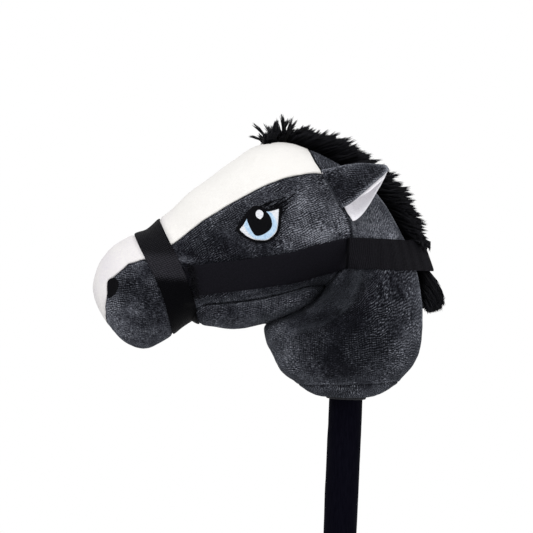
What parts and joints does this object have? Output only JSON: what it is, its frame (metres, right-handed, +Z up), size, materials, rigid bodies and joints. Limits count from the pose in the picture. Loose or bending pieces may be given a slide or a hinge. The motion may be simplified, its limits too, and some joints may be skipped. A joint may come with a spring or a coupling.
{
  "type": "hobby horse",
  "caption": "Stuffed plush horse head with a mane, laid-back ears and a webbing halter on a long cloth-covered stick.",
  "frame": {"origin": "centre of the underside of the foot cap, on the stick's axis", "axes": "+Z up the stick, -X towards the nose, -Y towards the horse's left side"},
  "size_m": [0.2978, 0.1576, 0.8539],
  "materials": {
    "wood": "sanded, clear varnish",
    "sleeve": "close woven black cloth",
    "rubber": "matt",
    "plastic": "moulded",
    "backing": "plain woven tape",
    "fibre": "loose fibre filling",
    "grey_plush": "short brushed pile",
    "white_plush": "short brushed pile",
    "lining_plush": "short brushed pile",
    "mane_pile": "long combed pile",
    "webbing": "woven ribbed tape",
    "white_thread": "satin stitch",
    "black_thread": "satin stitch",
    "iris_thread": "satin stitch"
  },
  "bodies": {
    "toy": {"stick": "wood", "stick_sleeve": "sleeve", "foot_cap": "rubber", "top_cap": "plastic", "inner_cuff": "backing", "cable_tie": "plastic", "head_stuffing": "fibre", "neck_stuffing": "fibre", "jaw_stuffing": "fibre", "blaze_panel": "white_plush", "face_panel_left": "grey_plush", "face_panel_right": "grey_plush", "jaw_panel": "grey_plush", "neck_panel_left": "grey_plush", "neck_panel_right": "grey_plush", "base_disc": "grey_plush", "mane_backing": "backing", "mane_pile": "mane_pile", "noseband": "webbing", "cheek_strap_left": "webbing", "cheek_strap_right": "webbing", "neck_band": "webbing", "nostril_left": "black_thread", "nostril_right": "black_thread", "eye_white_left": "white_thread", "eye_outline_left": "black_thread", "eye_iris_left": "iris_thread", "eye_pupil_left": "black_thread", "eye_glint_left": "white_thread", "eye_white_right": "white_thread", "eye_outline_right": "black_thread", "eye_iris_right": "iris_thread", "eye_pupil_right": "black_thread", "eye_glint_right": "white_thread"},
    "ear_left": {"ear_outer_left": "grey_plush", "ear_lining_left": "lining_plush"},
    "ear_right": {"ear_outer_right": "grey_plush", "ear_lining_right": "lining_plush"}
  },
  "joints": [
    {"name": "ear_left", "type": "hinge", "parent": "toy", "child": "ear_left", "pos_m": [-0.01835, -0.06314, 0.78987], "axis": [0.4973, -0.2412, -0.8334], "range_deg": [0, 55], "stiffness_Nm_per_rad": 0.03},
    {"name": "ear_right", "type": "hinge", "parent": "toy", "child": "ear_right", "pos_m": [-0.01835, 0.06314, 0.78987], "axis": [-0.4973, -0.2412, 0.8334], "range_deg": [0, 55], "stiffness_Nm_per_rad": 0.03}
  ]
}
